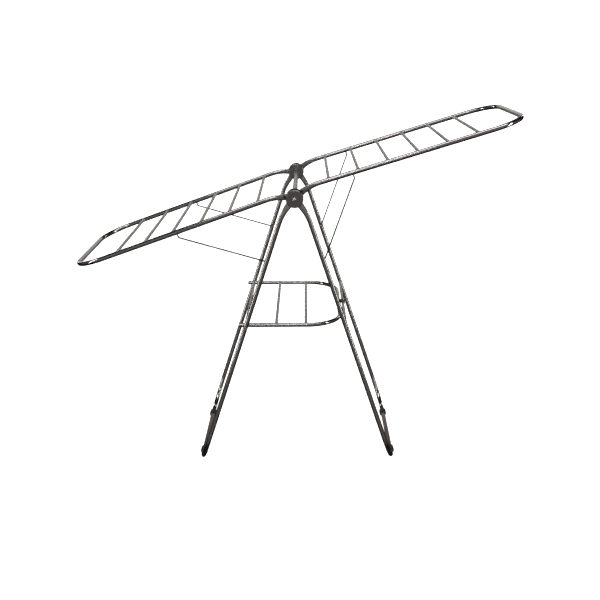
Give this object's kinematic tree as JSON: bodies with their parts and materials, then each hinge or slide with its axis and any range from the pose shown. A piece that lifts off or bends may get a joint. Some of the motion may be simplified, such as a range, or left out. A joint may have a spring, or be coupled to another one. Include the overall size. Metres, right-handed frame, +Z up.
{
  "type": "clothes drying rack",
  "caption": "Free-standing folding drying rack with two laddered gull wings, two bent leg frames, a lower shelf and wire props.",
  "frame": {"origin": "on the floor, at the middle of the open rack's footprint in plan", "axes": "+X along the open wings towards the raised one, Y along the hub axle, +Z up"},
  "size_m": [1.4656, 0.606, 1.1983],
  "materials": {
    "frame_tube": "polished stainless steel tube",
    "rung_steel": "satin stainless steel",
    "prop_wire": "drawn steel wire",
    "hub_cover": "pressed steel, satin",
    "hardware": "bright zinc plate",
    "foot_sleeve": "matt moulded rubber",
    "black_plastic": "moulded plastic"
  },
  "bodies": {
    "left_leg_frame": {"hub_axle": "hardware", "hub_cap_nut_front": "hardware", "hub_cap_nut_rear": "hardware", "hub_cross_tube": "frame_tube", "hub_inner_cover_front": "hub_cover", "hub_inner_cover_rear": "hub_cover", "hub_outer_cover_front": "hub_cover", "hub_outer_cover_rear": "hub_cover", "hub_washers": "hardware", "left_leg_crossbar": "rung_steel", "left_leg_crossbar_screws": "hardware", "left_leg_foot_sleeve_front": "foot_sleeve", "left_leg_foot_sleeve_rear": "foot_sleeve", "left_leg_prop_pins": "hardware", "left_leg_tube": "frame_tube"},
    "right_leg_frame": {"right_leg_crossbar": "rung_steel", "right_leg_crossbar_screws": "hardware", "right_leg_foot_sleeve_front": "foot_sleeve", "right_leg_foot_sleeve_rear": "foot_sleeve", "right_leg_prop_pins": "hardware", "right_leg_tube": "frame_tube"},
    "shelf": {"shelf_clip": "black_plastic", "shelf_end_plugs": "black_plastic", "shelf_rung_1": "rung_steel", "shelf_rung_2": "rung_steel", "shelf_tube": "frame_tube"},
    "left_wing": {"left_wing_rung_1": "rung_steel", "left_wing_rung_2": "rung_steel", "left_wing_rung_3": "rung_steel", "left_wing_rung_4": "rung_steel", "left_wing_rung_5": "rung_steel", "left_wing_rung_6": "rung_steel", "left_wing_tube": "frame_tube"},
    "right_wing": {"right_wing_rung_1": "rung_steel", "right_wing_rung_2": "rung_steel", "right_wing_rung_3": "rung_steel", "right_wing_rung_4": "rung_steel", "right_wing_rung_5": "rung_steel", "right_wing_rung_6": "rung_steel", "right_wing_tube": "frame_tube"},
    "left_props": {"left_prop_front": "prop_wire", "left_prop_rear": "prop_wire"},
    "right_props": {"right_prop_front": "prop_wire", "right_prop_rear": "prop_wire"}
  },
  "joints": [
    {"name": "leg_fold", "type": "hinge", "parent": "left_leg_frame", "child": "right_leg_frame", "pos_m": [0.00136, 0, 0.95], "axis": [0, 1, 0], "range_deg": [0, 36]},
    {"name": "shelf_fold", "type": "hinge", "parent": "left_leg_frame", "child": "shelf", "pos_m": [-0.16497, 0, 0.52], "axis": [0, -1, 0], "range_deg": [0, 71]},
    {"name": "left_wing_fold", "type": "hinge", "parent": "left_leg_frame", "child": "left_wing", "pos_m": [0.00136, 0, 0.95], "axis": [0, -1, 0], "range_deg": [0, 46]},
    {"name": "left_prop_swing", "type": "hinge", "parent": "left_leg_frame", "child": "left_props", "pos_m": [-0.09166, 0, 0.741], "axis": [0, -1, 0], "range_deg": [0, 82]},
    {"name": "right_wing_fold", "type": "hinge", "parent": "right_leg_frame", "child": "right_wing", "pos_m": [0.00136, 0, 0.95], "axis": [0, 1, 0], "range_deg": [0, 80]},
    {"name": "right_prop_swing", "type": "hinge", "parent": "right_leg_frame", "child": "right_props", "pos_m": [0.09439, 0, 0.741], "axis": [0, 1, 0], "range_deg": [0, 133]}
  ],
  "couplings": [
    {"joint": "shelf_fold", "follows": "leg_fold", "ratio": 1.97},
    {"joint": "left_prop_swing", "follows": "left_wing_fold", "ratio": 1.78},
    {"joint": "right_prop_swing", "follows": "right_wing_fold", "ratio": 1.66}
  ]
}
